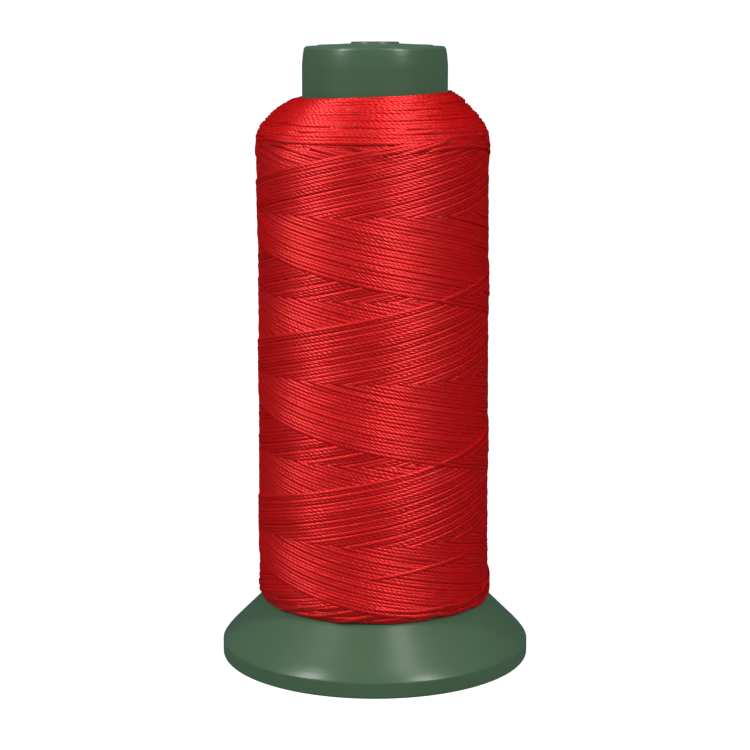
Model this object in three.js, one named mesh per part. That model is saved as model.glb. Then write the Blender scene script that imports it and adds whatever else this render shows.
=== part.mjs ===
// A spool of nylon thread, standing on its foot.
//
// The core is one plastic moulding: a hollow barrel with a short neck above the thread, a thin end web
// with a spindle hole, and a conical foot that is hollow underneath. The thread is cross-wound round the
// barrel, from the foot's cone up to the neck, and its top edge is a sloping shoulder.
//
// Millimetres, +Z up. The origin is the centre of the foot's lower face, on the surface it stands on.

import * as THREE from 'three';

// ---- Driving dimensions of the core ----

const FOOT_RADIUS = 38.1;           // a three-inch foot
const RIM_HEIGHT = 4;               // the foot's short vertical rim
const CROWN = [[37.3, 5.0], [36.2, 6.25]]; // radius and height where the rim rounds over to the cone
const BARREL_RADIUS = 17.5;         // the barrel and the neck that stands out of the thread
const FOOT_FILLET = 4;              // between the barrel and the cone of the foot
const TAPER_START = 146.5;          // the neck narrows a little from this height
const TAPER_END = 148.4;            // down to its tip radius at this one
const NECK_TIP_RADIUS = 17.15;
const NECK_TIP_ROUND = 1.1;         // rounding of the neck's top edge
const SHOULDER_HEIGHT = 150.1;      // the flat ring at the top of the neck
const END_DISC_RADIUS = 14.5;       // a slightly raised disc on the end
const END_DISC_HEIGHT = 150.5;
const COLLAR_RADIUS = 5.8;          // a low collar round the spindle hole
const COLLAR_HEIGHT = 151.1;
const SPINDLE_HOLE_RADIUS = 4.9;
const WALL = 2.2;                   // wall thickness of the moulding
const FOOT_FACE_WIDTH = 2.7;        // the flat ring that the spool stands on
const EDGE_ROUND = 0.4;             // small rounding of the foot's edges
const DRAFT = 0.1;                  // how far the short upright faces lean in
const ARC_STEPS = 3;
const CORE_SEGMENTS = 64;

// ---- Driving dimensions of the thread package ----

const CLEARANCE = 0.3;              // between the thread and the core
const THREAD_TOP = 138.7;           // where the thread ends on the neck, on average
const TOP_SLANT = 0.0395;           // its top edge rises towards +X by this much per millimetre
const WINDING_PITCH = 38.8;         // height climbed in one turn of the thread
const BAND_STEP = 0.35;             // how far a fresh band stands above the oldest one
const BANDS_LOW = [16, 22];         // the bands fade in over these heights at the bottom
const BANDS_HIGH = [124, 130];      // and fade out over these below the shoulder
const SLANT_HEIGHTS = [134, 138.2]; // the sloping shoulder takes up the slant of the top edge over these
const CONE_EDGE_RADIUS = 28.4;      // where the thread that lies on the foot's cone ends
const PACKAGE_SEGMENTS = 72;
const ROW_STEP = 4;                 // height between rows on the straight part of the package

// The inner end of the package's underside, which clears the fillet: how far out from the bore and how
// far up from the cone, both as shares of the fillet.
const FILLET_CLEAR = [
  { outward: 0, lift: 0.5 },
  { outward: 0.35, lift: 0.15 },
  { outward: 1, lift: 0 },
];

// Heights at which the newest band of rising thread, and the newest band of falling thread, pass the +X
// side. They repeat every winding pitch.
const RISING_BAND_HEIGHT = 59.2;
const FALLING_BAND_HEIGHT = 46.9;

// The outer form of the package, from its lower edge to the neck. The axis of the wound thread is a
// little off the axis of the core, by offset along X.
const PACKAGE_SECTIONS = [
  { height: 14.25, radius: 28.75, offset: -0.05 },
  { height: 14.9, radius: 29.1, offset: -0.12 },
  { height: 16.2, radius: 29.2, offset: -0.22 },
  { height: 18.5, radius: 29.2, offset: -0.30 },
  { height: 28.0, radius: 29.15, offset: -0.42 },
  { height: 60.0, radius: 28.95, offset: -0.40 },
  { height: 100.0, radius: 28.7, offset: -0.40 },
  { height: 122.0, radius: 28.72, offset: -0.60 },
  { height: 127.0, radius: 28.6, offset: -0.65 },
  { height: 129.1, radius: 28.25, offset: -0.60 },
  { height: 131.0, radius: 27.5, offset: -0.50 },
  { height: 133.0, radius: 26.0, offset: -0.30 },
  { height: 135.0, radius: 23.95, offset: -0.25 },
  { height: 137.0, radius: 21.75, offset: -0.35 },
  { height: 138.2, radius: 19.7, offset: -0.30 },
];

// ---- Helpers ----

const lerp = (a, b, share) => a + (b - a) * share;

// A closed solid of revolution about Z, from a closed loop of [radius, height] points.
function turned(loop, segments) {
  const points = loop.map(([radius, height]) => new THREE.Vector2(radius, height));
  points.push(points[0].clone());
  const geometry = new THREE.LatheGeometry(points, segments);
  geometry.rotateX(Math.PI / 2);
  return geometry;
}

// Points of a circular arc in the [radius, height] plane, both ends included, angles in degrees.
function arc(centre, size, from, to) {
  return Array.from({ length: ARC_STEPS + 1 }, (_, i) => {
    const angle = THREE.MathUtils.degToRad(lerp(from, to, i / ARC_STEPS));
    return [centre[0] + size * Math.cos(angle), centre[1] + size * Math.sin(angle)];
  });
}

// ---- The moulded core ----

// The cone of the foot rises at 45 degrees from its crowned edge. This is its height at a given radius.
const coneHeight = (radius) => CROWN[1][1] + CROWN[1][0] - radius;

function coreOutline() {
  const innerRadius = BARREL_RADIUS - WALL;
  const slantWall = WALL * Math.SQRT2;
  const webUnderside = END_DISC_HEIGHT - WALL;
  const rimInner = FOOT_RADIUS - FOOT_FACE_WIDTH;
  const filletRise = FOOT_FILLET * Math.tan(THREE.MathUtils.degToRad(22.5));
  const barrelFoot = coneHeight(BARREL_RADIUS);
  const tipCentre = [NECK_TIP_RADIUS - NECK_TIP_ROUND, SHOULDER_HEIGHT - NECK_TIP_ROUND];
  return [
    [rimInner, 0],
    [FOOT_RADIUS - EDGE_ROUND, 0],
    [FOOT_RADIUS, EDGE_ROUND],
    [FOOT_RADIUS, RIM_HEIGHT - EDGE_ROUND],
    [FOOT_RADIUS - DRAFT, RIM_HEIGHT],
    ...CROWN,
    ...arc([BARREL_RADIUS + FOOT_FILLET, barrelFoot + filletRise], FOOT_FILLET, 225, 180),
    [BARREL_RADIUS, TAPER_START],
    [NECK_TIP_RADIUS, TAPER_END],
    ...arc(tipCentre, NECK_TIP_ROUND, 0, 90),
    [END_DISC_RADIUS, SHOULDER_HEIGHT],
    [END_DISC_RADIUS - DRAFT, END_DISC_HEIGHT],
    [COLLAR_RADIUS, END_DISC_HEIGHT],
    [COLLAR_RADIUS - DRAFT, COLLAR_HEIGHT],
    [SPINDLE_HOLE_RADIUS, COLLAR_HEIGHT],
    [SPINDLE_HOLE_RADIUS, webUnderside],
    [innerRadius, webUnderside],
    [innerRadius, coneHeight(innerRadius) - slantWall],
    [rimInner, coneHeight(rimInner) - slantWall],
  ];
}

function spoolCore() {
  const material = new THREE.MeshStandardMaterial({ color: 0x4f7355, roughness: 0.42, metalness: 0 });
  const mesh = new THREE.Mesh(turned(coreOutline(), CORE_SEGMENTS), material);
  mesh.name = 'spool_core';
  return mesh;
}

// ---- The wound thread ----

// The radius and offset of the package at a height, read between two sections.
function sectionAt(height) {
  const above = PACKAGE_SECTIONS.findIndex((section) => section.height >= height);
  const upper = PACKAGE_SECTIONS[above];
  const lower = PACKAGE_SECTIONS[Math.max(above - 1, 0)];
  const span = upper.height - lower.height;
  const share = span > 0 ? (height - lower.height) / span : 0;
  return {
    height,
    radius: lerp(lower.radius, upper.radius, share),
    offset: lerp(lower.offset, upper.offset, share),
  };
}

// Every section of the table, with evenly spaced ones filled in along the straight part.
function packageRows() {
  const rows = [];
  PACKAGE_SECTIONS.forEach((section, index) => {
    rows.push(section);
    const next = PACKAGE_SECTIONS[index + 1];
    if (!next) return;
    const steps = Math.round((next.height - section.height) / ROW_STEP);
    for (let i = 1; i < steps; i += 1) {
      rows.push(sectionAt(lerp(section.height, next.height, i / steps)));
    }
  });
  return rows;
}

const fraction = (value) => value - Math.floor(value);

// The winder lays rising bands and falling bands in turn, each a little behind the last, so the surface
// is a lattice of low steps. It is highest where both bands are fresh. It fades out towards both ends.
function bandRelief(angle, height) {
  const turns = angle / (2 * Math.PI);
  const risingAge = fraction(turns - (height - RISING_BAND_HEIGHT) / WINDING_PITCH);
  const fallingAge = fraction(turns + (height - FALLING_BAND_HEIGHT) / WINDING_PITCH);
  const fade = THREE.MathUtils.smoothstep(height, ...BANDS_LOW)
    * (1 - THREE.MathUtils.smoothstep(height, ...BANDS_HIGH));
  return BAND_STEP * (1 - risingAge - fallingAge) * fade;
}

// One closed ring of points for each row, from the inner top edge down the inside, along the cone and up
// the outside, joined into a closed skin.
function threadPackage() {
  const bore = BARREL_RADIUS + CLEARANCE;
  const coneGap = CLEARANCE * Math.SQRT2;
  const onCone = (radius) => coneHeight(radius) + coneGap;
  const rings = [];

  const ring = (pointAt) => rings.push(Array.from(
    { length: PACKAGE_SEGMENTS },
    (_, i) => pointAt((2 * Math.PI * i) / PACKAGE_SEGMENTS),
  ));

  ring((angle) => {
    const x = bore * Math.cos(angle);
    return [x, bore * Math.sin(angle), THREAD_TOP + TOP_SLANT * x];
  });
  FILLET_CLEAR.forEach(({ outward, lift }) => {
    const radius = bore + FOOT_FILLET * outward;
    const height = onCone(radius) + FOOT_FILLET * lift;
    ring((angle) => [radius * Math.cos(angle), radius * Math.sin(angle), height]);
  });
  ring((angle) => [
    CONE_EDGE_RADIUS * Math.cos(angle),
    CONE_EDGE_RADIUS * Math.sin(angle),
    onCone(CONE_EDGE_RADIUS),
  ]);
  packageRows().forEach(({ height, radius, offset }) => {
    ring((angle) => {
      const slantShare = THREE.MathUtils.smoothstep(height, ...SLANT_HEIGHTS);
      const local = radius + bandRelief(angle, height);
      const x = offset + local * Math.cos(angle);
      return [x, local * Math.sin(angle), height + TOP_SLANT * x * slantShare];
    });
  });

  const positions = rings.flat(2);
  const indices = [];
  rings.forEach((_, row) => {
    const nextRow = (row + 1) % rings.length;
    for (let i = 0; i < PACKAGE_SEGMENTS; i += 1) {
      const j = (i + 1) % PACKAGE_SEGMENTS;
      const a = row * PACKAGE_SEGMENTS + i;
      const b = row * PACKAGE_SEGMENTS + j;
      const c = nextRow * PACKAGE_SEGMENTS + j;
      const d = nextRow * PACKAGE_SEGMENTS + i;
      indices.push(a, b, c, a, c, d);
    }
  });
  const geometry = new THREE.BufferGeometry();
  geometry.setAttribute('position', new THREE.Float32BufferAttribute(positions, 3));
  geometry.setIndex(indices);
  geometry.computeVertexNormals();

  const material = new THREE.MeshStandardMaterial({ color: 0xc41420, roughness: 0.5, metalness: 0 });
  const mesh = new THREE.Mesh(geometry, material);
  mesh.name = 'thread_package';
  return mesh;
}

const spool = new THREE.Group();
spool.add(spoolCore(), threadPackage());

export default spool;
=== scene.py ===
import math

import bpy
import numpy as np
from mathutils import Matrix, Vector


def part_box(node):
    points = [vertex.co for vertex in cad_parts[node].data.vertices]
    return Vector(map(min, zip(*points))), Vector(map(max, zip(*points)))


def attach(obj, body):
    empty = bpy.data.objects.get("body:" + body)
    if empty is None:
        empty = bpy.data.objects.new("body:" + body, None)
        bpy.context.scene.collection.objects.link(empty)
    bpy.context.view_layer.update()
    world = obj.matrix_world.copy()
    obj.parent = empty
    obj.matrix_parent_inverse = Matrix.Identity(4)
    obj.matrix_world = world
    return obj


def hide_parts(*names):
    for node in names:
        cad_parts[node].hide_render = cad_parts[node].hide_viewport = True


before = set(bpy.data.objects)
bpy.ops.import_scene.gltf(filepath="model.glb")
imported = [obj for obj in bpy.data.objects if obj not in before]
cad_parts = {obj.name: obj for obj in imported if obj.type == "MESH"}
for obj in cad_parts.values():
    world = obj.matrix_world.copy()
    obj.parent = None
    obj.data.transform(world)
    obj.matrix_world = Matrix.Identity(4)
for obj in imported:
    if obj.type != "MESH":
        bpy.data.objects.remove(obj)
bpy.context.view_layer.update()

scene = bpy.context.scene
scene.view_settings.view_transform = "Standard"
mm = 0.001


# ---- Camera ----
# The spool is seen from in front and a little above its middle, with the whole of it in view and its
# axis upright.

camera_tilt = 10.26             # degrees below level

camera = bpy.data.objects.new("camera", bpy.data.cameras.new("camera"))
scene.collection.objects.link(camera)
camera.data.sensor_width = 36
camera.data.lens = 94.95
camera.location = (0, -0.4792, 0.1569)
camera.rotation_euler = (math.radians(90 - camera_tilt), 0, 0)
scene.camera = camera


# ---- Studio ----
# A pale paper sweep is floor in front and wall behind. Two tall soft boxes stand at the sides, a weak one
# in front gives no reflection, and two small ones hang high at the sides. A weak sky, a little stronger
# on the left, fills the shadows.

class Socket:
    """An output in a node tree. Arithmetic on it adds Math nodes."""

    def __init__(self, nodes, out):
        self.nodes = nodes
        self.out = out

    def math(self, operation, *values, clamp=False):
        return self.nodes.add("ShaderNodeMath", {"operation": operation, "use_clamp": clamp}, values)

    def __add__(self, other):
        return self.math("ADD", self, other)

    def __sub__(self, other):
        return self.math("SUBTRACT", self, other)

    def __mul__(self, other):
        return self.math("MULTIPLY", self, other)

    def __truediv__(self, other):
        return self.math("DIVIDE", self, other)

    def __radd__(self, other):
        return self.math("ADD", other, self)

    def __rsub__(self, other):
        return self.math("SUBTRACT", other, self)

    def __rmul__(self, other):
        return self.math("MULTIPLY", other, self)

    def sine(self):
        return self.math("SINE", self)

    def floor(self):
        return self.math("FLOOR", self)

    def absolute(self):
        return self.math("ABSOLUTE", self)

    def arctangent(self, across):
        """The angle of a direction that goes this far up and that far across."""
        return self.math("ARCTAN2", self, across)

    def clamped(self):
        return self.math("ADD", self, 0.0, clamp=True)

    def named(self, name):
        """Another output of the same node."""
        return Socket(self.nodes, self.out.node.outputs[name])


class Nodes:
    """A node tree. Every node in it is made by add."""

    def __init__(self, tree):
        self.tree = tree

    def add(self, kind, settings=None, inputs=None):
        """A new node's first live output. Settings are made first. Inputs go by name or by order."""
        node = self.tree.nodes.new(kind)
        for name, value in (settings or {}).items():
            setattr(node, name, value)
        given = inputs.items() if isinstance(inputs, dict) else enumerate(inputs or ())
        for name, value in given:
            socket = node.inputs[name]
            if isinstance(value, Socket):
                self.tree.links.new(value.out, socket)
            else:
                socket.default_value = value
        outputs = [socket for socket in node.outputs if socket.enabled]
        return Socket(self, outputs[0]) if outputs else node

    def blend(self, share, first, second):
        """A colour between two others. Inputs 6 and 7 are the Mix node's colours."""
        return self.add("ShaderNodeMix", {"data_type": "RGBA"}, {"Factor": share, 6: first, 7: second})


def new_material(name):
    """An empty material and the Nodes of its tree."""
    material = bpy.data.materials.new(name)
    material.use_nodes = True
    material.node_tree.nodes.clear()
    return material, Nodes(material.node_tree)


def finish_material(nodes, shader):
    """Makes this shader the material's surface."""
    nodes.add("ShaderNodeOutputMaterial", None, {"Surface": shader})


def linear(red, green, blue):
    """A colour given as on screen, 0 to 255, made linear, with alpha."""
    shares = [channel / 255 for channel in (red, green, blue)]
    return tuple(s / 12.92 if s < 0.04045 else ((s + 0.055) / 1.055) ** 2.4 for s in shares) + (1,)


def make_sweep():
    """The floor runs back, turns up on a wide curve and becomes the wall."""
    half_width = 12.0
    front, back = -12.0, 3.0
    turn = 1.5
    turn_steps = 16
    wall_height = 4.0
    profile = [(front, 0.0), (back, 0.0)]
    for step in range(1, turn_steps + 1):
        angle = math.radians(90 * step / turn_steps)
        profile.append((back + turn * math.sin(angle), turn - turn * math.cos(angle)))
    profile.append((back + turn, wall_height))
    points = [(side * half_width, y, z) for y, z in profile for side in (-1, 1)]
    faces = [(2 * i, 2 * i + 1, 2 * i + 3, 2 * i + 2) for i in range(len(profile) - 1)]
    mesh = bpy.data.meshes.new("studio_sweep")
    mesh.from_pydata(points, [], faces)
    mesh.shade_smooth()
    sweep = bpy.data.objects.new("studio_sweep", mesh)
    scene.collection.objects.link(sweep)
    material, nodes = new_material("studio_paper")
    place = nodes.add("ShaderNodeTexCoord").named("Object")
    mottle = nodes.add("ShaderNodeTexNoise", None, {"Vector": place, "Scale": 3.0})
    tone = nodes.blend(mottle, linear(126, 126, 126), linear(130, 130, 130))
    shader = nodes.add("ShaderNodeBsdfPrincipled", None,
                       {"Base Color": tone, "Roughness": 0.9, "Specular IOR Level": 0.0,
                        "Emission Color": (1, 1, 1, 1), "Emission Strength": 0.95})
    finish_material(nodes, shader)
    mesh.materials.append(material)
    sweep.visible_glossy = False
    sweep.visible_diffuse = False
    return sweep


def soft_box(name, azimuth, distance, height, width, length, power, lean):
    """A soft box that stands azimuth degrees to the right of the camera and is tipped by lean degrees."""
    light = bpy.data.lights.new(name, "AREA")
    light.shape = "RECTANGLE"
    light.size = width
    light.size_y = length
    light.energy = power
    lamp = bpy.data.objects.new(name, light)
    turn = math.radians(azimuth)
    lamp.location = (distance * math.sin(turn), -distance * math.cos(turn), height)
    lamp.rotation_euler = (math.radians(90 - lean), 0, turn)
    scene.collection.objects.link(lamp)
    return lamp


make_sweep()

# azimuth, distance, height, width, length, power, lean
soft_box("soft_box_left", -58, 1.1, 0.85, 0.12, 0.7, 13.4, 35)
soft_box("soft_box_right", 43, 1.1, 0.85, 0.12, 0.7, 13.0, 35)
soft_box("soft_box_top_left", -82, 0.42, 1.1, 0.16, 0.16, 1.0, 68)
soft_box("soft_box_top_right", 42, 0.44, 1.05, 0.05, 0.3, 1.7, 67)
front_box = soft_box("soft_box_front", 5, 1.4, 0.7, 0.6, 0.4, 3.2, 25)
front_box.visible_glossy = False

sky_strength = 0.74
sky_change = 0.08               # how much weaker the sky is on the right than at the middle
world = bpy.data.worlds.new("studio")
scene.world = world
world.use_nodes = True
world.node_tree.nodes.clear()
world_nodes = Nodes(world.node_tree)
direction = world_nodes.add("ShaderNodeTexCoord").named("Generated")
to_right = world_nodes.add("ShaderNodeSeparateXYZ", None, {"Vector": direction}).named("X")
world_light = world_nodes.add("ShaderNodeBackground", None,
                              {"Color": (0.85, 0.92, 1.0, 1),
                               "Strength": sky_strength - sky_change * to_right})
world_nodes.add("ShaderNodeOutputWorld", None, {"Surface": world_light})
world.cycles_visibility.glossy = False


# ---- Core ----
# One hollow moulding in dark green plastic: a barrel whose bare end is the neck, a thin, very slightly
# domed end web with a spindle hole in a low collar, and a conical foot. It is smooth and satin, a little
# worn on the rim.

foot_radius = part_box("spool_core")[1].x / mm
core_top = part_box("spool_core")[1].z / mm
barrel_radius = 17.5
neck_tip_radius = 16.95
wall = 2.2
rim_height = 3.9
cone_start = (36.2, 6.25)       # radius and height where the foot's crowned edge becomes the cone
foot_face_width = 2.7
shoulder_height = core_top - 1.0
disc_height = core_top - 0.6
collar_radius = 5.7
hole_radius = 4.9
web_underside = disc_height - wall
bore_radius = barrel_radius - wall
slant_wall = wall * math.sqrt(2)


def cone_height(radius):
    """Height of the foot's cone, which rises at 45 degrees from its crowned edge."""
    return sum(cone_start) - radius


# radius, height, rounding of the corner, from the foot's inner edge outwards and up, then down inside
CORE_CORNERS = [
    (foot_radius - foot_face_width, 0, 0.4),
    (foot_radius, 0, 0.6),
    (foot_radius, rim_height, 0.9),
    (37.3, 5.0, 14.0),
    (*cone_start, 16.0),
    (barrel_radius, cone_height(barrel_radius), 4.0),
    (barrel_radius, 145.9, 25.0),
    (17.25, 148.2, 12.0),
    (neck_tip_radius, shoulder_height, 1.3),
    (14.3, shoulder_height, 0.4),
    (13.7, disc_height - 0.12, 1.5),
    (10.0, disc_height, 20.0),
    (collar_radius + 0.1, disc_height + 0.2, 0.15),
    (collar_radius, core_top, 0.2),
    (hole_radius, core_top, 0.25),
    (hole_radius, web_underside, 0.3),
    (bore_radius, web_underside, 0.8),
    (bore_radius, cone_height(bore_radius) - slant_wall, 3.0),
    (foot_radius - foot_face_width, cone_height(foot_radius - foot_face_width) - slant_wall, 0.5),
]


def rounded_outline(corners, steps=5, guard=0.25):
    """A closed outline with each corner rounded, and a guard point a little way along each straight."""
    corner_share = 0.45         # the most of a straight that the corner at its end takes up
    guard_share = 0.04
    points = []
    for index, (radius, height, rounding) in enumerate(corners):
        corner = np.array((radius, height), float)
        before = np.array(corners[index - 1][:2], float) - corner
        after = np.array(corners[(index + 1) % len(corners)][:2], float) - corner
        to_before = before / np.linalg.norm(before)
        to_after = after / np.linalg.norm(after)
        half = math.acos(np.clip(to_before @ to_after, -1, 1)) / 2
        shorter = min(np.linalg.norm(before), np.linalg.norm(after))
        reach = min(rounding / math.tan(half), corner_share * shorter)
        size = reach * math.tan(half)
        middle = to_before + to_after
        centre = corner + middle / np.linalg.norm(middle) * size / math.sin(half)
        first = corner + to_before * reach - centre
        last = corner + to_after * reach - centre
        sweep = math.atan2(first[0] * last[1] - first[1] * last[0], first @ last)
        clear = min(guard, guard_share * shorter)
        points.append(corner + to_before * (reach + clear))
        for step in range(steps + 1):
            turn = sweep * step / steps
            points.append(centre + (first[0] * math.cos(turn) - first[1] * math.sin(turn),
                                    first[0] * math.sin(turn) + first[1] * math.cos(turn)))
        points.append(corner + to_after * (reach + clear))
    return points


def geometry_tree(name, inputs):
    """An empty Geometry Nodes tree with one geometry in, one out, and the named inputs of its sizes."""
    tree = bpy.data.node_groups.new(name, "GeometryNodeTree")
    tree.interface.new_socket("Geometry", in_out="INPUT", socket_type="NodeSocketGeometry")
    for label, kind in inputs.items():
        tree.interface.new_socket(label, in_out="INPUT", socket_type="NodeSocket" + kind)
    tree.interface.new_socket("Geometry", in_out="OUTPUT", socket_type="NodeSocketGeometry")
    nodes = Nodes(tree)
    return tree, nodes, nodes.add("NodeGroupInput")


def built_piece(name, rough, tree, values):
    """Runs a tree on a rough mesh with these input values, and returns a plain mesh object."""
    source = bpy.data.objects.new(name + "_rough", rough)
    scene.collection.objects.link(source)
    modifier = source.modifiers.new("build", "NODES")
    modifier.node_group = tree
    for item in tree.interface.items_tree:
        if item.in_out == "INPUT" and item.name in values:
            modifier[item.identifier] = values[item.name]
    evaluated = source.evaluated_get(bpy.context.evaluated_depsgraph_get())
    mesh = bpy.data.meshes.new_from_object(evaluated)
    bpy.data.objects.remove(source)
    mesh.name = name
    piece = bpy.data.objects.new(name, mesh)
    scene.collection.objects.link(piece)
    return piece


def turning_tree():
    """Turns a closed outline, drawn with the radius along X and the height along Z, about the Z axis."""
    tree, nodes, given = geometry_tree("turned_moulding", {"Segments": "Int", "Axis Radius": "Float",
                                                           "Finish": "Material"})
    outline = nodes.add("GeometryNodeMeshToCurve", None, {"Mesh": given})
    shift = nodes.add("ShaderNodeCombineXYZ", None, {"X": 0 - given.named("Axis Radius")})
    laid_flat = nodes.add("GeometryNodeTransform", None, {"Geometry": outline, "Translation": shift})
    laid_flat = nodes.add("GeometryNodeTransform", None,
                          {"Geometry": laid_flat, "Rotation": (math.radians(90), 0, 0)})
    ring = nodes.add("GeometryNodeCurvePrimitiveCircle", None,
                     {"Resolution": given.named("Segments"), "Radius": given.named("Axis Radius")})
    ring = nodes.add("GeometryNodeSetCurveNormal", {"mode": "Z_UP"}, {"Curve": ring})
    body = nodes.add("GeometryNodeCurveToMesh", None, {"Curve": ring, "Profile Curve": laid_flat})
    body = nodes.add("GeometryNodeSetShadeSmooth", None, {"Geometry": body, "Shade Smooth": True})
    body = nodes.add("GeometryNodeRealizeInstances", None, {"Geometry": body})
    body = nodes.add("GeometryNodeSetMaterial", None, {"Geometry": body, "Material": given.named("Finish")})
    nodes.add("NodeGroupOutput", None, {"Geometry": body})
    return tree


def core_plastic():
    """Satin moulded plastic: faint clouding, a fine grain, and pale scuffs on the foot's rim."""
    scuff_height = 3.2 * mm         # middle of the scuffed band
    scuff_reach = 1.6 * mm
    material, nodes = new_material("core_plastic")
    place = nodes.add("ShaderNodeTexCoord").named("Object")
    height = nodes.add("ShaderNodeSeparateXYZ", None, {"Vector": place}).named("Z")
    cloud = nodes.add("ShaderNodeTexNoise", None, {"Vector": place, "Scale": 55.0, "Detail": 3.0})
    grain = nodes.add("ShaderNodeTexNoise", None, {"Vector": place, "Scale": 1800.0, "Detail": 2.0})
    around = nodes.add("ShaderNodeMapping", None, {"Vector": place, "Scale": (1, 1, 9)})
    flow = nodes.add("ShaderNodeTexNoise", None, {"Vector": around, "Scale": 90.0, "Detail": 4.0})
    scuff = nodes.add("ShaderNodeTexNoise", None, {"Vector": around, "Scale": 420.0, "Detail": 5.0})
    on_rim = (1 - (height - scuff_height).absolute() / scuff_reach).clamped()
    worn = ((scuff - 0.55) * 6).clamped() * on_rim
    mottle = (cloud * 0.7 + flow * 0.3 + (grain - 0.5) * 0.5).clamped()
    tone = nodes.blend(mottle, linear(50, 71, 49), linear(58, 80, 55))
    tone = nodes.blend(worn * 0.06, tone, linear(128, 155, 134))
    bump = nodes.add("ShaderNodeBump", None,
                     {"Height": grain * 0.4 + flow * 0.6, "Strength": 0.12, "Distance": 0.1 * mm})
    shader = nodes.add("ShaderNodeBsdfPrincipled", None,
                       {"Base Color": tone, "Roughness": 0.28 + cloud * 0.06 + worn * 0.05, "IOR": 1.5,
                        "Specular IOR Level": 0.35, "Sheen Weight": 0.08, "Sheen Roughness": 0.5,
                        "Sheen Tint": (0.6, 0.9, 1.0, 1), "Normal": bump})
    finish_material(nodes, shader)
    return material


outline = rounded_outline(CORE_CORNERS)
rough = bpy.data.meshes.new("core_outline")
rough.from_pydata([(r * mm, 0, z * mm) for r, z in outline],
                  [(i, (i + 1) % len(outline)) for i in range(len(outline))], [])
core = built_piece("moulded_core", rough, turning_tree(),
                   {"Segments": 192, "Axis Radius": barrel_radius * mm, "Finish": core_plastic()})
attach(core, "root")
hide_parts("spool_core")


# ---- Thread ----
# Three-ply nylon thread, cross-wound on the barrel by a winder that climbs three turns to a stroke and
# lays each pair of strokes a little behind the last. The turns are kept as the winder lays them: each
# one is stretched over those below it, and only what stays in sight is built.

thread_width = 0.98             # a turn is pressed a little flat where it lies
thread_thickness = 0.22
thread_sink = 0.10              # how far a turn beds into the ones below it
thread_give = 0.5               # how much a stretched turn follows the dips below it
winding_pitch = 38.8            # height climbed in one turn of the spool
stroke_turns = 3
stroke_low = 14.26              # where the strokes would meet if they turned round sharply
turn_round = 12.0               # half the length over which the thread turns round at a stroke's end
newest_end = 33.3 / 360         # where the newest pair of strokes starts, in turns from the front
creep = 7.8 / 360               # how far each pair of strokes falls behind the last
stroke_pairs = 100
top_slant = 0.0395              # how steeply the package's top edge climbs to the right
slant_start = 134.0             # the height where this slope sets in
slant_full = 138.2              # and the height where it is complete
mean_radius = 28.9              # of the straight part
join_reach = 5.0                # length over which a stroke joins the one before it
tuck_depth = 0.4                # how far the ends of a loose length dip under the others

# height, radius, offset of the axis along X, up the outside of the package
PACKAGE_FORM = np.array([
    (14.42, 28.2, -0.05), (14.40, 28.75, -0.05), (14.95, 29.1, -0.12), (16.2, 29.2, -0.22),
    (18.5, 29.2, -0.30), (28.0, 29.15, -0.42), (60.0, 28.95, -0.40), (100.0, 28.7, -0.40),
    (122.0, 28.72, -0.60), (127.0, 28.6, -0.65), (129.1, 28.25, -0.60), (131.0, 27.5, -0.50),
    (133.0, 26.0, -0.35), (135.0, 23.95, -0.25), (137.0, 21.75, -0.35), (138.2, 19.7, -0.30),
    (138.8, 17.85, 0),
])

rng = np.random.default_rng(7)
cell = 0.1                      # the package's surface is a grid: this far up, and so many steps round
steps_round = 720
form_blur = 7                   # in cells
form_toe = 8                    # cells at the form's lower edge, below which it doesn't climb yet


def smoothed(values, size):
    """Values blurred along the first axis by a bell of this size in samples, ends held."""
    reach = int(3 * size) + 1
    bell = np.exp(-0.5 * (np.arange(-reach, reach + 1) / size) ** 2)
    padded = np.pad(values, [(reach, reach)] + [(0, 0)] * (values.ndim - 1), mode="edge")
    if values.ndim == 1:
        return np.convolve(padded, bell / bell.sum(), mode="valid")
    return np.stack([np.convolve(row, bell / bell.sum(), mode="valid") for row in padded.T], 1)


def eased(share):
    """A share held between 0 and 1, with a soft start and a soft end."""
    share = np.clip(share, 0, 1)
    return share * share * (3 - 2 * share)


def nearness(distance, reach):
    """1 at no distance, fading away past this reach."""
    return np.exp(-(distance / reach) ** 2)


# The form is followed by distance along it. Heights above it are measured square to it.
form_length = np.r_[0, np.cumsum(np.hypot(np.diff(PACKAGE_FORM[:, 0]), np.diff(PACKAGE_FORM[:, 1])))]
form_along = np.arange(0, form_length[-1], cell)
form = np.stack([np.interp(form_along, form_length, column) for column in PACKAGE_FORM.T], 1)
form = smoothed(form, form_blur)
form_height, form_radius, form_offset = form.T
form_slope = np.gradient(form[:, :2], axis=0)
form_slope /= np.linalg.norm(form_slope, axis=1)[:, None]
form_out = np.stack([-form_slope[:, 1], form_slope[:, 0]], 1)      # (height, radius) of the outward normal


def along_at(height):
    """Distance along the form at a height on its outside."""
    return np.interp(height, form_height[form_toe:], form_along[form_toe:])


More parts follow.
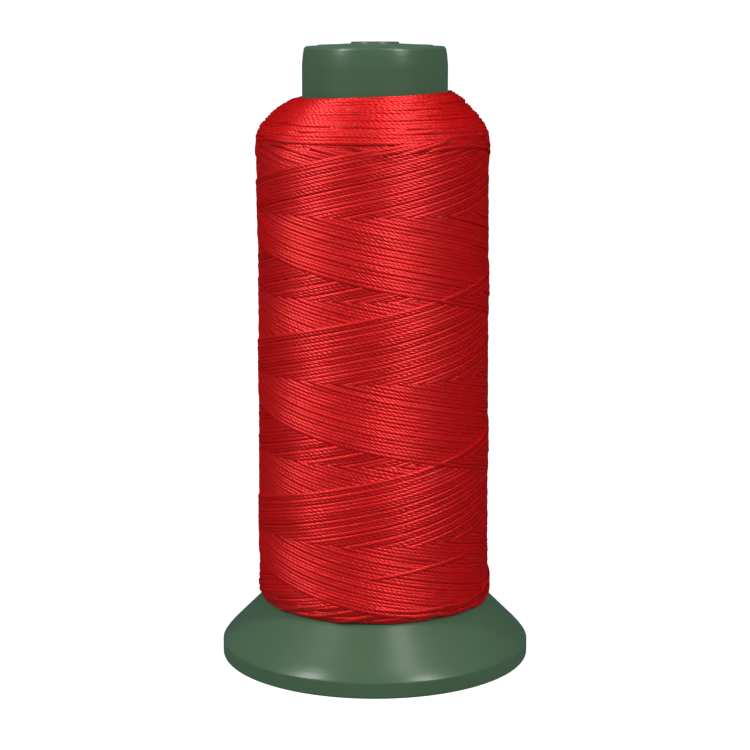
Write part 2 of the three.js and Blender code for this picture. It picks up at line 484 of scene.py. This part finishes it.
class Package:
    """The surface of the package as it grows: heights over its form, and the last turn to touch each spot."""

    far_below = -9
    support_blur = 4                # in steps

    def __init__(self, start):
        self.surface = np.tile(start, (steps_round, 1))
        self.owner = np.full(self.surface.shape, -1)
        self.turn, self.along, self.height = [], [], []
        self.count = 0

    def footprint(self, column, along):
        """Cells under a turn of thread and how far its underside curves up over each."""
        reach = int(thread_width / 2 / cell)
        row = np.rint(along / cell).astype(int)[:, None] + np.arange(-reach, reach + 1)
        inside = (row >= 0) & (row < len(form_along))
        row = row.clip(0, len(form_along) - 1)
        across = (row * cell - along[:, None]) / (thread_width / 2)
        arch = thread_thickness / 2 * np.sqrt(np.clip(1 - across ** 2, 0, 1))
        return np.broadcast_to(column[:, None], row.shape), row, arch, inside & (np.abs(across) < 1)

    def lay(self, step, along, ceiling, dip=None, join=None):
        """Lays one length of thread through these places, one for each step round, and records it.
        It is pressed in where it would stand above the ceiling."""
        column = step % steps_round
        radius = np.interp(along, form_along, form_radius)
        run = np.hypot(np.gradient(along), radius * 2 * math.pi / steps_round)
        run = np.cumsum(run) - run[0]
        column_2d, row, arch, inside = self.footprint(column, along)
        support = np.where(inside, self.surface[column_2d, row] + arch, self.far_below).max(1)
        followed = smoothed(support, self.support_blur)
        height = (1 - thread_give) * taut(run, support, radius.mean()) + thread_give * followed
        height -= thread_sink
        height = np.minimum(height, ceiling)
        if join is not None:
            height += (join - height[0]) * nearness(run, join_reach)
        if dip is not None:
            height -= dip
        top = height[:, None] + arch
        higher = inside & (top > self.surface[column_2d, row])
        number = np.broadcast_to(self.count + np.arange(len(step))[:, None], row.shape)
        self.surface[column_2d[higher], row[higher]] = top[higher]
        self.owner[column_2d[higher], row[higher]] = number[higher]
        self.turn.append(step)
        self.along.append(along)
        self.height.append(height)
        self.count += len(step)
        return height[-1]


def taut(run, support, bend):
    """Heights of a thread stretched over its supports, on a surface that curves away from it."""
    level = support - run ** 2 / (2 * bend)
    kept = []
    for index in range(len(run)):
        while len(kept) > 1:
            first, middle = kept[-2], kept[-1]
            if ((level[middle] - level[first]) * (run[index] - run[first])
                    > (level[index] - level[first]) * (run[middle] - run[first])):
                break
            kept.pop()
        kept.append(index)
    return np.interp(run, run[kept], level[kept]) + run ** 2 / (2 * bend)


def wander(count, spacing, size):
    """A slow random sideways drift, one value for each of count samples."""
    knots = rng.normal(0, size, int(count / spacing) + 4)
    return smoothed(np.interp(np.arange(count) / spacing, np.arange(len(knots)), knots), spacing / 3)


def grouped(count, closeness):
    """Sideways shifts that draw neighbouring strokes together in groups of one to three."""
    shifts = []
    while len(shifts) < count:
        size = rng.choice([1, 2, 3], p=[0.25, 0.4, 0.35])
        shifts += [(size - 1) / 2 - i for i in range(size)]
    return np.array(shifts[:count]) * closeness


start_depth = 1.3               # the first turns are laid this far below the form
shoulder_lift = 0.75            # and this much less deep on the shoulder
shoulder_foot, shoulder_full = 126.0, 131.5
on_shoulder = eased((form_height - shoulder_foot) / (shoulder_full - shoulder_foot))
package = Package(-start_depth + shoulder_lift * on_shoulder)

# The shoulder is made of the ends of older, longer strokes, each row a little lower than the last.
# They run nearly level, three lengths to a row, over a like layer that shows only between them.
row_spacing = 0.78
loops_in_row = 3
loop_shift = 0.37               # how far each row's lengths start past those of the row before, in lengths
shoulder_tuck = 3.5             # length over which an end dips
place_drift, slope_drift, bend_drift, height_drift = 0.07, 0.007, 0.16, 0.03        # the random parts
neck_along = form_along[-1] - 0.3
shoulder_along = along_at(128.4)
shoulder_rows = math.ceil((neck_along - shoulder_along) / row_spacing)
for layer_ceiling in (-0.44, -0.24):
    for row in range(shoulder_rows):
        for loop in range(loops_in_row):
            middle = neck_along - row * row_spacing + rng.normal(0, place_drift)
            radius = np.interp(middle, form_along, form_radius)
            step_length = radius * 2 * math.pi / steps_round
            reach = math.pi * radius / loops_in_row * rng.uniform(1.1, 1.5)
            offsets = np.arange(-int(reach / step_length), int(reach / step_length) + 1)
            run = offsets * step_length
            along = middle + rng.normal(0, slope_drift) * run + wander(len(run), 60, bend_drift)
            along = along.clip(form_along[3], neck_along)
            start = int((loop + loop_shift * row + rng.uniform(-0.15, 0.15)) * steps_round / loops_in_row)
            dip = tuck_depth * nearness(reach - np.abs(run), shoulder_tuck)
            ceiling = layer_ceiling + rng.normal(0, height_drift)
            package.lay(start + offsets, along, ceiling, dip=dip)
shoulder_lengths = len(package.turn)

# The strokes in sight on the straight part. Older strokes turn round a little farther out, and no two
# turn round at quite the same place, so that their ends spread instead of piling up.
closeness = 0.14                # how far rising strokes shift towards the others of their group
stroke_drift = 0.06             # the random parts: where a whole stroke lies,
side_drift = 0.05               # how it strays along its length,
end_drift = 0.08                # where it turns round,
depth_drift = 0.004             # and how deep it is pressed in
end_depth, end_sinking = 0.26, 0.009                # depth of the newest strokes' ends, and more with age
middle_depth, middle_sinking = 0.10, 0.004          # the same for the rest of their length
high_margin, low_margin = 0.5, 0.55                 # how far past the turning the outermost ends lie
age_margin = 0.4                # and how much farther at the top for the oldest strokes
lane_spacing = 0.72
lanes = (0, 3, 1, 4, 2)         # the order in which the ends of the strokes take their places side by side

half_steps = stroke_turns * steps_round
from_low = np.arange(half_steps + 1) / steps_round
from_high = stroke_turns - from_low
soft = turn_round / (2 * math.pi * mean_radius)     # turn_round, in turns of the spool
rounding = np.clip(soft - from_low, 0, None) ** 2 - np.clip(soft - from_high, 0, None) ** 2
rounding *= winding_pitch / (2 * soft)
middle_share = np.clip((np.minimum(from_low, from_high) - soft) / (3 * soft), 0, 1)
end_reach = 1.2 * soft
at_low, at_high = nearness(from_low, end_reach), nearness(from_high, end_reach)
rising_shift = grouped(stroke_pairs, closeness)
falling_shift = rng.normal(0, stroke_drift, stroke_pairs)
end = None
low_end = 0
for pair in range(stroke_pairs):
    age = stroke_pairs - 1 - pair
    start = newest_end + age * creep
    lane = lane_spacing * lanes[pair % len(lanes)]
    high_end = high_margin + age_margin * age / stroke_pairs - lane + rng.normal(0, end_drift)
    for climbing in (True, False):
        shift = rising_shift[pair] if climbing else falling_shift[pair]
        height = stroke_low + from_low * winding_pitch + rounding
        height += shift * middle_share + wander(half_steps + 1, 90, side_drift)
        height += low_end * at_low + high_end * at_high
        end_ceiling = -end_depth - end_sinking * age + rng.normal(0, depth_drift)
        middle_ceiling = -middle_depth - middle_sinking * age
        ceiling = end_ceiling + (middle_ceiling - end_ceiling) * middle_share
        first = int(round((start if climbing else start + stroke_turns) * steps_round))
        order = slice(None) if climbing else slice(None, None, -1)
        along = along_at(height).clip(0.15)
        end = package.lay(first + np.arange(half_steps + 1), along[order], ceiling[order], join=end)
        if climbing:
            low_end = lane - low_margin + rng.normal(0, end_drift)

# A few last turns that lie across the others: degrees to the right of the front, and height, along each
LAST_TURNS = [
    [(-8, 25.6), (1, 26.4), (13, 27.2), (27, 28.3), (40, 29.0), (58, 29.8)],
    [(2, 126.0), (11, 126.7), (24, 128.1), (35, 128.8), (46, 129.2)],
    [(6, 125.2), (13, 125.8), (19, 126.7), (28, 127.6), (36, 128.5), (44, 128.9)],
    [(22, 126.2), (28, 126.6), (35, 127.2), (49, 127.6), (66, 126.8), (80, 126.2)],
]
last_ceiling = 0.12             # the last turns may stand this far above the form
last_tuck = 2.5                 # length over which their ends dip
for places in LAST_TURNS:
    degrees, heights = np.array(places).T
    step = np.arange(round(degrees[0] * steps_round / 360), round(degrees[-1] * steps_round / 360))
    height = smoothed(np.interp(step * 360 / steps_round, degrees, heights), 8)
    to_end = np.minimum(step - step[0], step[-1] - step) * 2 * math.pi * mean_radius / steps_round
    package.lay(step, along_at(height), last_ceiling, dip=tuck_depth * nearness(to_end, last_tuck))


# What stays in sight of each turn is kept, with a little more at both ends, which dip under the others.
keep_share = 0.28               # share of the width that shows
spare = 14                      # steps kept past the last place that shows
stride = 5                      # steps from one point of a built turn to the next
fewest_steps = 3                # what shows for no more steps than this isn't built
end_dip = 0.25                  # how far the ends of a built turn go down

shown = np.bincount(package.owner[package.owner >= 0], minlength=package.count) * cell / thread_width
starts = np.r_[0, np.cumsum([len(step) for step in package.turn])]


def kept_stretches(number):
    """First and last step of each stretch of this length of thread that shows."""
    seen = shown[starts[number]:starts[number + 1]] > keep_share
    near = np.convolve(seen, np.ones(2 * spare + 1), mode="same") > 0.5
    edges = np.flatnonzero(np.diff(np.r_[0, near.astype(int), 0]))
    return [(a, b) for a, b in zip(edges[::2], edges[1::2]) if b - a > 2 * spare + fewest_steps]


def placed(step, along, height):
    """Points in space, in metres, of places on the package."""
    radius = np.interp(along, form_along, form_radius) + height * np.interp(along, form_along, form_out[:, 1])
    level = np.interp(along, form_along, form_height) + height * np.interp(along, form_along, form_out[:, 0])
    turn = step * 2 * math.pi / steps_round
    x = np.interp(along, form_along, form_offset) + radius * np.sin(turn)
    level = level + top_slant * x * eased((level - slant_start) / (slant_full - slant_start))
    return np.stack([x, -radius * np.cos(turn), level], 1) * mm


def strand(number, first, last):
    """The points of one stretch, and how full the thread is at each: it is closed to a point at both ends."""
    pick = np.unique(np.r_[np.arange(first, last - 1, stride), last - 1])
    step = package.turn[number][pick]
    height = package.height[number][pick].copy()
    from_end = np.minimum(pick - first, last - 1 - pick) / spare
    height -= end_dip * np.clip(1 - from_end, 0, 1) ** 2
    fullness = np.ones(len(pick))
    fullness[[0, -1]] = 0
    return placed(step, package.along[number][pick], height), fullness


def winding_tree():
    """Sweeps a flattened round section along each strand. The map lays the strands out in rows."""
    row_edge = 0.06             # the part of a row that stays bare at each of its two edges
    tree, nodes, given = geometry_tree("wound_thread", {
        "Sides": "Int", "Width": "Float", "Thickness": "Float", "Row Length": "Float", "Rows": "Float",
        "Row Margin": "Float", "Finish": "Material"})
    strands = nodes.add("GeometryNodeMeshToCurve", None, {"Mesh": given})
    strands = nodes.add("GeometryNodeSetCurveNormal", {"mode": "Z_UP"}, {"Curve": strands})
    section = nodes.add("GeometryNodeCurveArc", {"mode": "RADIUS"},
                        {"Resolution": given.named("Sides") + 1, "Radius": 0.5, "Start Angle": math.pi,
                         "Sweep Angle": 2 * math.pi})
    flatness = nodes.add("ShaderNodeCombineXYZ", None,
                         {"X": given.named("Thickness"), "Y": given.named("Width"), "Z": 1.0})
    section = nodes.add("GeometryNodeTransform", None, {"Geometry": section, "Scale": flatness})
    section = nodes.add("GeometryNodeStoreNamedAttribute", {"data_type": "FLOAT", "domain": "POINT"},
                        {"Geometry": section, "Name": "around",
                         "Value": nodes.add("GeometryNodeSplineParameter").named("Factor")})

    def attribute(name):
        return nodes.add("GeometryNodeInputNamedAttribute", {"data_type": "FLOAT"}, {"Name": name})

    turns = nodes.add("GeometryNodeCurveToMesh", None,
                      {"Curve": strands, "Profile Curve": section, "Scale": attribute("fullness")})
    row = nodes.add("GeometryNodeFieldOnDomain", {"data_type": "FLOAT", "domain": "FACE"},
                    {"Value": (attribute("run") / given.named("Row Length")).floor()})
    margin = given.named("Row Margin")
    across = ((attribute("run") - row * given.named("Row Length") + margin)
              / (given.named("Row Length") + 2 * margin))
    up = (row + row_edge + (1 - 2 * row_edge) * attribute("around")) / given.named("Rows")
    turns = nodes.add("GeometryNodeStoreNamedAttribute", {"data_type": "FLOAT2", "domain": "CORNER"},
                      {"Geometry": turns, "Name": "OFBake",
                       "Value": nodes.add("ShaderNodeCombineXYZ", None, {"X": across, "Y": up})})
    turns = nodes.add("GeometryNodeStoreNamedAttribute", {"data_type": "FLOAT2", "domain": "CORNER"},
                      {"Geometry": turns, "Name": "lay",
                       "Value": nodes.add("ShaderNodeCombineXYZ", None,
                                          {"X": attribute("run"), "Y": attribute("around")})})
    turns = nodes.add("GeometryNodeMergeByDistance", None, {"Geometry": turns, "Distance": 0.001 * mm})
    turns = nodes.add("GeometryNodeSetShadeSmooth", None, {"Geometry": turns, "Shade Smooth": True})
    turns = nodes.add("GeometryNodeRealizeInstances", None, {"Geometry": turns})
    turns = nodes.add("GeometryNodeSetMaterial", None, {"Geometry": turns, "Material": given.named("Finish")})
    nodes.add("NodeGroupOutput", None, {"Geometry": turns})
    return tree


def nylon():
    """Glossy dyed nylon. Three plies twist round each other, with shade painted dark into the grooves between
    them.
    """
    plies = 3
    ply_twist = 3.8 * mm            # length in which a ply goes once round
    unevenness = 2.6                # how far the twist runs ahead or lags, in turns
    filament_change = 900.0         # how fast the filaments change, to a metre of thread
    filaments_round = 21
    material, nodes = new_material("red_nylon_thread")
    place = nodes.add("ShaderNodeTexCoord").named("Object")
    lay = nodes.add("ShaderNodeAttribute", {"attribute_name": "lay"}).named("Vector")
    split = nodes.add("ShaderNodeSeparateXYZ", None, {"Vector": lay})
    run, around = split.named("X"), split.named("Y")
    slack = nodes.add("ShaderNodeTexNoise", {"noise_dimensions": "1D"},
                      {"W": run * 16.0, "Scale": 1.0, "Detail": 3.0})
    twist = around - run / ply_twist + unevenness * slack
    ridge = (twist * (plies * math.pi)).sine().absolute()
    strand_place = nodes.add("ShaderNodeCombineXYZ", None,
                             {"X": run * filament_change, "Y": twist * filaments_round})
    filaments = nodes.add("ShaderNodeTexNoise", None, {"Vector": strand_place, "Scale": 1.0, "Detail": 2.0})
    shade = nodes.add("ShaderNodeTexNoise", None, {"Vector": place, "Scale": 60.0, "Detail": 2.0})
    # Painted shade: the colour is darker in the grooves between the plies and lighter on their crests, and
    # the filaments add random tone.
    painted_ply_shade_and_filament_tone = (0.5 + 0.5 * ridge) * (0.7 + 0.3 * filaments)
    tone = nodes.blend(painted_ply_shade_and_filament_tone, linear(184, 3, 7), linear(240, 17, 18))
    tone = nodes.blend(0.25 * shade, tone, linear(170, 4, 14))
    bump = nodes.add("ShaderNodeBump", None,
                     {"Height": ridge + 0.4 * filaments, "Strength": 0.66, "Distance": 0.10 * mm})
    shader = nodes.add("ShaderNodeBsdfPrincipled", None,
                       {"Base Color": tone, "Metallic": 0.55, "Roughness": 0.36 + 0.08 * filaments,
                        "IOR": 1.53, "Specular IOR Level": 0.75, "Subsurface Weight": 0.6,
                        "Subsurface Radius": (1.0, 0.06, 0.05), "Subsurface Scale": 0.9 * mm,
                        "Normal": bump})
    finish_material(nodes, shader)
    return material


thread_finish = nylon()
thread_tree = winding_tree()
strand_gap = 2 * mm             # bare length between two strands on the map
map_row_size = 2.4 * mm         # height of a row of the map, about the thread's girth
map_margin = 1.5 * mm           # bare length at both ends of a row


def build_turns(name, numbers):
    """One piece made of what shows of these lengths of thread."""
    points, edges, fullness, run = [], [], [], []
    count, reached = 0, 0.0
    for number in numbers:
        for first, last in kept_stretches(number):
            place, full = strand(number, first, last)
            lengths = np.r_[0, np.cumsum(np.linalg.norm(np.diff(place, axis=0), axis=1))]
            points.append(place)
            fullness.append(full)
            run.append(reached + lengths)
            edges.append(np.stack([np.arange(len(place) - 1), np.arange(1, len(place))], 1) + count)
            count += len(place)
            reached += lengths[-1] + strand_gap
    rough = bpy.data.meshes.new(name + "_strands")
    edges = np.concatenate(edges)
    rough.vertices.add(count)
    rough.vertices.foreach_set("co", np.concatenate(points).ravel())
    rough.edges.add(len(edges))
    rough.edges.foreach_set("vertices", edges.ravel())
    for label, values in (("fullness", fullness), ("run", run)):
        rough.attributes.new(label, "FLOAT", "POINT").data.foreach_set("value", np.concatenate(values))
    row_length = math.sqrt(reached * map_row_size)
    piece = built_piece(name, rough, thread_tree,
                        {"Sides": 8, "Width": thread_width * mm, "Thickness": thread_thickness * mm,
                         "Row Length": row_length, "Rows": float(math.ceil(reached / row_length)),
                         "Row Margin": map_margin, "Finish": thread_finish})
    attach(piece, "root")
    return piece


stroke_pieces = 4
strokes = range(shoulder_lengths, len(package.turn))
in_sight = np.cumsum([sum(last - first for first, last in kept_stretches(number)) for number in strokes])
share = np.minimum(in_sight * stroke_pieces // in_sight[-1], stroke_pieces - 1)
shoulder = build_turns("thread_shoulder_turns", range(shoulder_lengths))
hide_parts("thread_package")
for part in range(stroke_pieces):
    build_turns("thread_turns_%d" % (part + 1), [strokes[i] for i in np.flatnonzero(share == part)])


# ---- Thread under the turns in sight ----
# The buried layers of the same nylon thread, wound before those that show. They are one body, painted dark
# as shade, that lies close round the core and ends just below the lowest turn in sight.

def inner_body():
    """A closed tube that follows the lowest spots near each place, and the core at a small distance."""
    steps_between, cells_between = 6, 10
    under = 0.12                # how far below the lowest spots it lies
    deepest, highest = -1.6, -0.3
    clearance = 0.3             # between the body and the core
    lowest = package.surface.copy()
    for axis, reach in ((0, 6), (1, 9)):
        shifted = [np.roll(lowest, shift, axis) for shift in range(-reach, reach + 1, 3)]
        lowest = np.min(shifted, axis=0)
    lowest = smoothed(smoothed(lowest.T, 4).T, 4)
    lowest = np.clip(lowest - under, deepest, highest)
    rows = list(range(0, len(form_along), cells_between)) + [len(form_along) - 1]
    columns = np.arange(0, steps_round, steps_between)
    points = []
    for row in rows:
        along = np.full(len(columns), form_along[row])
        points.append(placed(columns, along, lowest[columns, row]))
    cone_gap = clearance * math.sqrt(2)
    bore = barrel_radius + clearance
    radians = columns * 2 * math.pi / steps_round
    inside = [(bore, slant_full, top_slant)]
    # distance out from the barrel, and lift over the cone, which clears the fillet between the two
    for out, lift in ((0, 2.0), (1.4, 0.6), (4.0, 0), (9.2, 0)):
        inside.append((bore + out, cone_height(bore + out) + cone_gap + lift, 0))
    for radius, level, lean in inside:
        x = radius * np.sin(radians)
        points.append(np.stack([x, -radius * np.cos(radians), level + lean * x], 1) * mm)
    across = len(columns)
    rings = len(points)
    faces = []
    for ring in range(rings):
        following = (ring + 1) % rings
        for i in range(across):
            j = (i + 1) % across
            faces.append((ring * across + i, ring * across + j,
                          following * across + j, following * across + i))
    mesh = bpy.data.meshes.new("thread_inner_body")
    mesh.from_pydata(np.concatenate(points).tolist(), [], faces)
    mesh.shade_smooth()
    body = bpy.data.objects.new("thread_inner_body", mesh)
    scene.collection.objects.link(body)
    return body


def buried_nylon():
    """The same thread with its shade painted in: deep red, with the two ways of the winding as fine crossing
    grooves, painted darker.
    """
    spacing = 0.85 * mm
    climb = winding_pitch * mm
    material, nodes = new_material("buried_nylon_thread_painted_shade")
    place = nodes.add("ShaderNodeTexCoord").named("Object")
    split = nodes.add("ShaderNodeSeparateXYZ", None, {"Vector": place})
    turn = split.named("Y").arctangent(split.named("X")) / (2 * math.pi)
    level = split.named("Z")
    rising = ((level - turn * climb) * (math.pi / spacing)).sine()
    falling = ((level + turn * climb) * (math.pi / spacing)).sine()
    grooves = (rising * rising + falling * falling) * 0.5
    speckle = nodes.add("ShaderNodeTexNoise", None, {"Vector": place, "Scale": 900.0, "Detail": 2.0})
    # Painted shade: the colour is darkened as for thread in shadow, more so in the grooves between the
    # crossing turns; the speckle is random tone.
    tone = nodes.blend((grooves * (0.5 + speckle)).clamped(), linear(110, 1, 5), linear(176, 8, 12))
    bump = nodes.add("ShaderNodeBump", None, {"Height": grooves, "Strength": 0.6, "Distance": 0.2 * mm})
    shader = nodes.add("ShaderNodeBsdfPrincipled", None,
                       {"Base Color": tone, "Metallic": 0.5, "Roughness": 0.6 + 0.1 * speckle,
                        "Specular IOR Level": 0.1, "Normal": bump})
    finish_material(nodes, shader)
    return material


body = inner_body()
body.data.materials.append(buried_nylon())
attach(body, "root")
